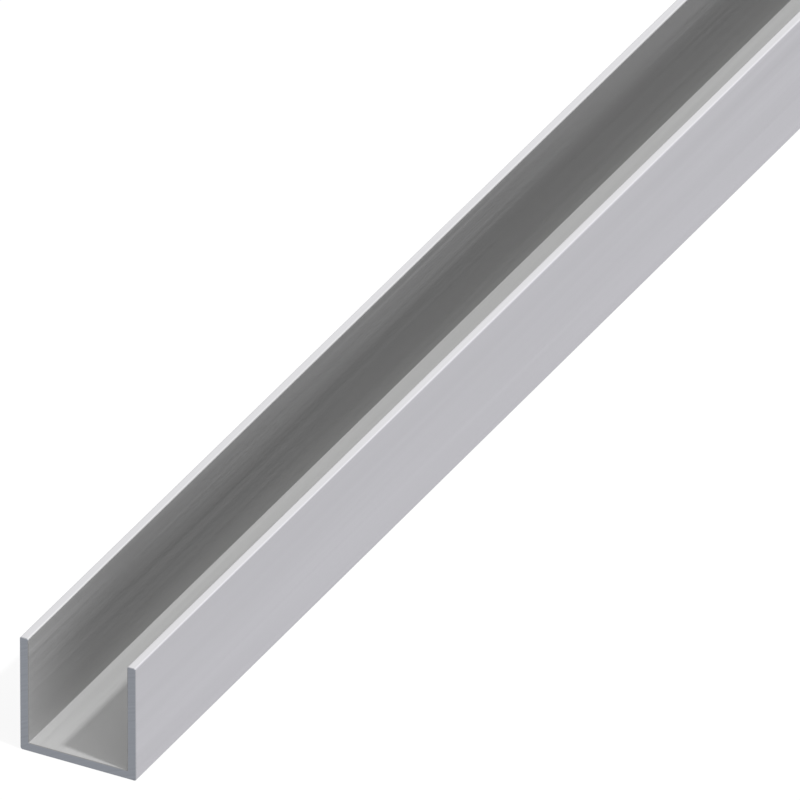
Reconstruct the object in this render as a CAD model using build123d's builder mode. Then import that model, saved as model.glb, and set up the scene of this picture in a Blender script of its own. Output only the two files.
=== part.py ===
"""Aluminium U-channel: one extruded length of stock with two sawn ends.

The channel lies on its web with the open side up. +X runs across the section, +Y along the length and
+Z up out of the slot. The origin is the middle of the underside. All sizes are in millimetres.
"""

import os

from build123d import *

# Section
section_width = 20.0  # outside, across both flanges
section_height = 20.0  # from the underside of the web to the flange tips
web_thickness = 1.5
flange_thickness = 1.5
tip_edge_radius = 0.3  # both edges of each flange tip
bottom_edge_radius = 0.4  # the two outside edges under the web
root_radius = 0.15  # the inside corners, where the web meets the flanges

# Stock
stock_length = 1000.0
deburr_chamfer = 0.1  # broken edge all round each sawn end

half_width = section_width / 2
slot_half_width = half_width - flange_thickness

with BuildPart() as u_channel:
    with BuildSketch(Plane.XZ) as section:
        with BuildLine():
            Polyline(
                (-half_width, 0),
                (half_width, 0),
                (half_width, section_height),
                (slot_half_width, section_height),
                (slot_half_width, web_thickness),
                (-slot_half_width, web_thickness),
                (-slot_half_width, section_height),
                (-half_width, section_height),
                close=True,
            )
        make_face()

        # A fillet adds corners of its own, so each one picks its corners afresh. By height the
        # underside comes first, then the roots of the slot, and the flange tips last.
        root_corners = section.vertices().group_by(Axis.Y)[1]
        fillet(root_corners, radius=root_radius)
        bottom_corners = section.vertices().group_by(Axis.Y)[0]
        fillet(bottom_corners, radius=bottom_edge_radius)
        tip_corners = section.vertices().group_by(Axis.Y)[-1]
        fillet(tip_corners, radius=tip_edge_radius)
    extrude(amount=stock_length / 2, both=True)

    sawn_ends = u_channel.faces().filter_by(Axis.Y)
    chamfer(sawn_ends.edges(), length=deburr_chamfer)

u_channel.part.label = "u_channel"

os.makedirs("parts", exist_ok=True)
export_step(u_channel.part, "parts/u_channel.step")
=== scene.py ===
"""Looks of the aluminium U-channel: a drawn mill skin, sawn ends, a pale floor and soft studio light.

Lengths are in metres. The channel lies on its web along Y, with its slot open towards +Z.
"""

import math

import bpy
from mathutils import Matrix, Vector


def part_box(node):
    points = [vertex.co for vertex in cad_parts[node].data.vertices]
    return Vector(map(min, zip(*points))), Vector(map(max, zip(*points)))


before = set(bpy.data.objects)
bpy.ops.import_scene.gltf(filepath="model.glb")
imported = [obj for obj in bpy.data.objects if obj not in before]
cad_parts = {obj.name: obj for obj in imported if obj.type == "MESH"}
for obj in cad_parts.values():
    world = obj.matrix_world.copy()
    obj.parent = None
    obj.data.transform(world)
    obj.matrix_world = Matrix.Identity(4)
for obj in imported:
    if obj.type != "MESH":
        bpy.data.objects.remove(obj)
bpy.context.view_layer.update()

MM = 0.001
WHITE = (1, 1, 1, 1)
NOISE_MIDDLE = 0.5  # of a noise texture, whose values lie between 0 and 1

# Section and length
channel_low, channel_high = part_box("u_channel")
half_length = (channel_high.y - channel_low.y) / 2
half_width = (channel_high.x - channel_low.x) / 2
channel_height = channel_high.z - channel_low.z
FLANGE_THICKNESS = 1.5 * MM
WEB_THICKNESS = 1.5 * MM
TIP_EDGE_RADIUS = 0.3 * MM
ROOT_RADIUS = 0.15 * MM
DEBURR_CHAMFER = 0.1 * MM
wall_height = channel_height - WEB_THICKNESS
slot_half_width = half_width - FLANGE_THICKNESS

# Camera: a very long lens, because the picture's long edges stay parallel
VIEW_AZIMUTH = 27.99
VIEW_ELEVATION = 31.25
VIEW_DISTANCE = 5770.7 * MM
AIM_ACROSS = 0.73 * MM
AIM_BEHIND_NEAR_END = 102.7 * MM
LENS_MM = 1690.0
SENSOR_MM = 36.0

# Light: a key in two parts, a narrow one that draws the shadows and a wide one that softens them
KEY_TOWARDS = Vector((12.35, -1.85, 18.5))
KEY_LAMPS = {"key_light": (3.6, 3.0), "soft_key_light": (0.8, 40.0)}  # strength, and width in degrees
SURROUND_STRENGTH = 0.5

# Floor
FLOOR_SIDE = 12.0
FLOOR_COLOUR = (0.82, 0.82, 0.82)
FLOOR_GLOW_SHARE = 0.9

# Extruded skin
SKIN_COLOUR = (0.45, 0.446, 0.47)
SKIN_ROUGHNESS = 0.6

# Slot: a matte web, and walls painted darker as painted shade, with painted light near the ends
WEB_COLOUR = (0.458, 0.458, 0.457)
WEB_ROUGHNESS = 0.75
WALL_SHADED_COLOUR = (0.409, 0.408, 0.411)
WALL_END_LIT_COLOUR = (0.492, 0.491, 0.494)
WALL_END_LIGHT_REACH = 36 * MM

# Painted shade on the walls, in two layers. Each fades out upwards, between two shares of the wall's
# height. The upper one also fades out towards the ends, as painted light coming in at the open end,
# between a place that would lie outside the end and one inside it
PAINTED_SHADE_COLOUR = (0.251, 0.251, 0.249)
UPPER_SHADE_FADE_SHARES = (0.55, 0.87)
UPPER_SHADE_END_FADE = (-6 * MM, 22 * MM)
UPPER_SHADE_SHARE = 0.62
LOWER_SHADE_FADE_SHARES = (0.07, 0.39)

# Flange tips, painted paler: painted light on their upward faces
TIP_PAINTED_LIGHT_COLOUR = (0.536, 0.534, 0.545)
TIP_ROUGHNESS = 0.82
TIP_FADE_SHARES = (0.3, 0.02)  # of the edge's radius, below the tip

# Die lines, drawn out along the length: the width and length of a line, and its share of the pattern
DIE_LINES = ((0.25 * MM, 80 * MM, 0.4), (1.2 * MM, 300 * MM, 0.35), (5 * MM, 700 * MM, 0.25))
DIE_LINE_TONE = 0.18
DIE_LINE_ROUGHNESS = 0.25
DIE_LINE_DEPTH = 0.01 * MM

# Sawn ends: a darker, bluer colour as painted shade, and arcs left by a round blade
# that came from below, to one side
SAWN_SHADED_COLOUR = (0.268, 0.282, 0.311)
SAWN_ROUGHNESS = 0.6
BLADE_CENTRE = Vector((45 * MM, 0, -95 * MM))
ACROSS_AND_UP = (1, 0, 1)
SAW_MARK_WIDTH = 0.35 * MM
SAW_MARK_TONE = 0.3
SAW_MARK_ROUGHNESS = 0.15
SAW_MARK_DEPTH = 0.01 * MM
SAWN_FACE_DEPTH = 0.005 * MM

# Edges round the sawn ends, broken with a file. Those in the slot take the walls' painted shade colour
EDGE_COLOUR = (0.363, 0.369, 0.39)
EDGE_ROUGHNESS = 0.5


class Value:
    """A shader socket that takes part in Python expressions: each operation adds a Math node."""

    def __init__(self, graph, socket):
        self.graph = graph
        self.socket = socket

    def maths(self, operation, first, second=None):
        return self.graph.node("ShaderNodeMath", {"operation": operation}, {0: first, 1: second})

    def __add__(self, other):
        return self.maths("ADD", self, other)

    def __radd__(self, other):
        return self.maths("ADD", other, self)

    def __sub__(self, other):
        return self.maths("SUBTRACT", self, other)

    def __rsub__(self, other):
        return self.maths("SUBTRACT", other, self)

    def __mul__(self, other):
        return self.maths("MULTIPLY", self, other)

    def __rmul__(self, other):
        return self.maths("MULTIPLY", other, self)

    def __truediv__(self, other):
        return self.maths("DIVIDE", self, other)

    def __gt__(self, other):
        return self.maths("GREATER_THAN", self, other)

    def __lt__(self, other):
        return self.maths("LESS_THAN", self, other)

    def __or__(self, other):
        return self.maths("MAXIMUM", self, other)

    def __abs__(self):
        return self.maths("ABSOLUTE", self)


class Graph:
    """The node tree of one material or world, cleared, with one method that adds any node."""

    def __init__(self, owner):
        owner.use_nodes = True
        self.tree = owner.node_tree
        self.tree.nodes.clear()

    def node(self, kind, settings=None, sockets=None, output=0):
        made = self.tree.nodes.new(kind)
        for name, setting in (settings or {}).items():
            setattr(made, name, setting)
        for name, given in (sockets or {}).items():
            if isinstance(given, Value):
                self.tree.links.new(given.socket, made.inputs[name])
            elif given is not None:
                made.inputs[name].default_value = given
        return Value(self, made.outputs[output]) if made.outputs else made


def new_material(name):
    material = bpy.data.materials.new(name)
    return material, Graph(material)


def as_colour(given):
    return given if isinstance(given, Value) else (*given, 1)


def mix_colour(graph, share, first, second):
    colours = {6: as_colour(first), 7: as_colour(second)}
    return graph.node("ShaderNodeMix", {"data_type": "RGBA"}, {0: share, **colours}, output=2)


def scale_colour(graph, colour, tone):
    return graph.node("ShaderNodeVectorMath", {"operation": "SCALE"}, {0: colour, "Scale": tone})


def vector_maths(graph, operation, first, second=None, output=0):
    sockets = {0: first, 1: second}
    return graph.node("ShaderNodeVectorMath", {"operation": operation}, sockets, output=output)


def fade(value, start, end):
    """0 up to start and 1 from end on, with a smooth step between them."""
    limits = {"Value": value, "From Min": start, "From Max": end}
    return value.graph.node("ShaderNodeMapRange", {"interpolation_type": "SMOOTHSTEP"}, limits)


def bump(graph, height, depth):
    return graph.node("ShaderNodeBump", {}, {"Strength": 1.0, "Distance": depth, "Height": height})


def bare_metal(graph, colour, roughness, relief):
    varying = {"Base Color": colour, "Roughness": roughness, "Normal": relief}
    return graph.node("ShaderNodeBsdfPrincipled", {}, {"Metallic": 1.0, **varying})


def die_lines(graph, place):
    """Streaks about 0 that keep their place across the section and change slowly lengthways."""
    pattern = 0.0
    for width, length, share in DIE_LINES:
        drawn_out = vector_maths(graph, "MULTIPLY", place, (1 / width, 1 / length, 1 / width))
        sockets = {"Vector": drawn_out, "Scale": 1.0, "Detail": 0.0}
        noise = graph.node("ShaderNodeTexNoise", {}, sockets)
        pattern = pattern + (noise - NOISE_MIDDLE) * share
    return pattern


def skin_finish(graph, place):
    across, along, up = [
        graph.node("ShaderNodeSeparateXYZ", {}, {0: place}, output=axis) for axis in "XYZ"
    ]

    in_slot = (abs(across) < half_width - FLANGE_THICKNESS / 2) * (up > WEB_THICKNESS / 2)
    root = (slot_half_width - ROOT_RADIUS, slot_half_width - ROOT_RADIUS / 2)
    on_wall = in_slot * fade(abs(across), *root)
    on_web = in_slot - on_wall
    on_tip = fade(up, *[channel_height - TIP_EDGE_RADIUS * share for share in TIP_FADE_SHARES])

    from_end = half_length - abs(along)
    on_edge = from_end < DEBURR_CHAMFER
    # Broken edges in the slot take the colour of the painted shade
    on_slot_edge = in_slot * (up < channel_height - TIP_EDGE_RADIUS)
    edge_colour = mix_colour(graph, on_slot_edge, EDGE_COLOUR, PAINTED_SHADE_COLOUR)

    # Painted shade on the walls: darker low down, lighter upwards, and thinner near the ends as
    # painted light
    height_share = (up - WEB_THICKNESS) / wall_height
    upper_painted_shade = (1 - fade(height_share, *UPPER_SHADE_FADE_SHARES)) * fade(from_end, *UPPER_SHADE_END_FADE)
    lower_painted_shade = 1 - fade(height_share, *LOWER_SHADE_FADE_SHARES)
    painted_shade = upper_painted_shade * UPPER_SHADE_SHARE + lower_painted_shade * (1 - UPPER_SHADE_SHARE)
    # Walls painted darker as painted shade, and lighter near the ends as painted light
    painted_wall_colour = mix_colour(graph, fade(from_end, 0, WALL_END_LIGHT_REACH), WALL_END_LIT_COLOUR, WALL_SHADED_COLOUR)
    painted_wall_colour = mix_colour(graph, painted_shade, painted_wall_colour, PAINTED_SHADE_COLOUR)

    lines = die_lines(graph, place)
    colour = mix_colour(graph, on_web, SKIN_COLOUR, WEB_COLOUR)
    colour = mix_colour(graph, on_wall, colour, painted_wall_colour)
    # Painted light: the flange tips paler
    colour = mix_colour(graph, on_tip, colour, TIP_PAINTED_LIGHT_COLOUR)
    colour = mix_colour(graph, on_edge, colour, edge_colour)
    colour = scale_colour(graph, colour, 1 + lines * DIE_LINE_TONE)

    roughness = SKIN_ROUGHNESS + lines * DIE_LINE_ROUGHNESS
    places = ((on_web, WEB_ROUGHNESS), (on_tip, TIP_ROUGHNESS), (on_edge, EDGE_ROUGHNESS))
    for mask, its_roughness in places:
        roughness = roughness + mask * (its_roughness - SKIN_ROUGHNESS)
    return bare_metal(graph, colour, roughness, bump(graph, lines, DIE_LINE_DEPTH))


def sawn_finish(graph, place):
    from_blade = vector_maths(graph, "SUBTRACT", place, BLADE_CENTRE)
    flat = vector_maths(graph, "MULTIPLY", from_blade, ACROSS_AND_UP)
    radius = vector_maths(graph, "LENGTH", flat, output="Value")
    rings = {"W": radius / SAW_MARK_WIDTH, "Scale": 1.0, "Detail": 1.0}
    marks = graph.node("ShaderNodeTexNoise", {"noise_dimensions": "1D"}, rings) - NOISE_MIDDLE

    # The sawn colour is darker and bluer as painted shade; the saw marks on it are real
    colour = scale_colour(graph, SAWN_SHADED_COLOUR, 1 + marks * SAW_MARK_TONE)
    roughness = SAWN_ROUGHNESS + marks * SAW_MARK_ROUGHNESS
    return bare_metal(graph, colour, roughness, bump(graph, marks, SAW_MARK_DEPTH))


def aluminium():
    material, graph = new_material("extruded_aluminium")
    place = graph.node("ShaderNodeTexCoord", output="Object")
    along = graph.node("ShaderNodeSeparateXYZ", {}, {0: place}, output="Y")
    sawn = abs(along) > half_length - SAWN_FACE_DEPTH
    finishes = {1: skin_finish(graph, place), 2: sawn_finish(graph, place)}
    both = graph.node("ShaderNodeMixShader", {}, {0: sawn, **finishes})
    graph.node("ShaderNodeOutputMaterial", {}, {"Surface": both})
    return material


def seen_directly(graph):
    """1 for rays from the camera, a reflection or a refraction, and 0 for rays of diffuse light."""
    camera = graph.node("ShaderNodeLightPath", output="Is Camera Ray")
    glossy = graph.node("ShaderNodeLightPath", output="Is Glossy Ray")
    through = graph.node("ShaderNodeLightPath", output="Is Transmission Ray")
    return camera | glossy | through


def pale_floor():
    material, graph = new_material("pale_floor")
    plain = graph.node("ShaderNodeBsdfDiffuse", {}, {"Color": as_colour(FLOOR_COLOUR)})
    white = graph.node("ShaderNodeEmission", {}, {"Color": WHITE, "Strength": 1.0})
    share = seen_directly(graph) * FLOOR_GLOW_SHARE
    both = graph.node("ShaderNodeMixShader", {}, {0: share, 1: plain, 2: white})
    graph.node("ShaderNodeOutputMaterial", {}, {"Surface": both})
    material.cycles.emission_sampling = "NONE"
    return material


def make_floor():
    bpy.ops.object.select_all(action="DESELECT")
    bpy.ops.mesh.primitive_plane_add(size=FLOOR_SIDE, location=(0, 0, channel_low.z))
    floor = bpy.context.object
    floor.name = "floor"
    floor.data.materials.append(pale_floor())


def make_light():
    world = bpy.data.worlds.new("white_surround")
    graph = Graph(world)
    strength = SURROUND_STRENGTH + seen_directly(graph) * (1 - SURROUND_STRENGTH)
    white = graph.node("ShaderNodeBackground", {}, {"Color": WHITE, "Strength": strength})
    graph.node("ShaderNodeOutputWorld", {}, {"Surface": white})
    bpy.context.scene.world = world

    facing_key = KEY_TOWARDS.to_track_quat("Z", "Y").to_euler()
    for name, (energy, width) in KEY_LAMPS.items():
        bpy.ops.object.light_add(type="SUN", rotation=facing_key)
        lamp = bpy.context.object
        lamp.name = name
        lamp.data.energy = energy
        lamp.data.angle = math.radians(width)


def make_camera():
    azimuth = math.radians(VIEW_AZIMUTH)
    elevation = math.radians(VIEW_ELEVATION)
    back = Vector(
        (
            math.sin(azimuth) * math.cos(elevation),
            -math.cos(azimuth) * math.cos(elevation),
            math.sin(elevation),
        )
    )
    aim = Vector((AIM_ACROSS, channel_low.y + AIM_BEHIND_NEAR_END, channel_low.z + channel_height / 2))
    bpy.ops.object.camera_add(
        location=aim + back * VIEW_DISTANCE,
        rotation=back.to_track_quat("Z", "Y").to_euler(),
    )
    camera = bpy.context.object
    camera.data.sensor_width = SENSOR_MM
    camera.data.lens = LENS_MM
    bpy.context.scene.camera = camera


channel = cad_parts["u_channel"]
channel.data.materials[0] = aluminium()
make_floor()
make_light()
make_camera()
bpy.context.scene.view_settings.view_transform = "Standard"
